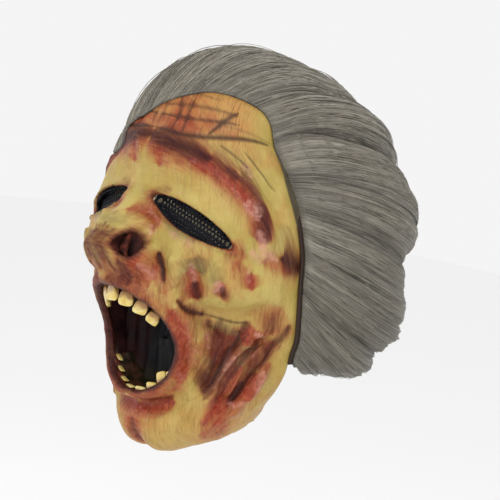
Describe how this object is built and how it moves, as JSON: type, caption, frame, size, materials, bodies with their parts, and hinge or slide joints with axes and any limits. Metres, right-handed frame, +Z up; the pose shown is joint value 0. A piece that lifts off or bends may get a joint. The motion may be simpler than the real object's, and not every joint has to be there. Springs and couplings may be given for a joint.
{
  "type": "old woman mask",
  "caption": "Full-head costume mask of a decayed old woman: soft latex face with open jaws and teeth, pierced eye screens and a grey wig on a cloth cap.",
  "frame": {"origin": "inner top of the wig cap, where the wearer's crown bears", "axes": "+Z up through the wearer's crown, -Y the way the face looks, +X the wearer's left"},
  "size_m": [0.2392, 0.2732, 0.305],
  "materials": {
    "latex": "painted latex, semi-gloss, ochre skin with red and maroon blotches",
    "cap_cloth": "dark brown knitted cap cloth, matt",
    "wig_hair": "grey synthetic wig fibre, soft sheen along the strands",
    "eye_mesh": "black pierced mesh, satin",
    "pocket_cloth": "black stretch cloth, slight sheen",
    "gum": "dark red-brown latex, glossy",
    "tooth": "ivory yellow with brown stains, glossy"
  },
  "bodies": {
    "root": {"face": "latex", "wig_cap": "cap_cloth", "hair": "wig_hair", "eye_screen_left": "eye_mesh", "eye_screen_right": "eye_mesh", "mouth_lining": "pocket_cloth", "upper_gum": "gum", "lower_gum": "gum", "upper_tooth_1": "tooth", "upper_tooth_2": "tooth", "upper_tooth_3": "tooth", "upper_tooth_4": "tooth", "upper_tooth_5": "tooth", "upper_tooth_6": "tooth", "upper_tooth_7": "tooth", "lower_tooth_1": "tooth", "lower_tooth_2": "tooth", "lower_tooth_3": "tooth", "lower_tooth_4": "tooth", "lower_tooth_5": "tooth", "lower_tooth_6": "tooth", "lower_tooth_7": "tooth", "lower_tooth_8": "tooth"}
  },
  "joints": []
}
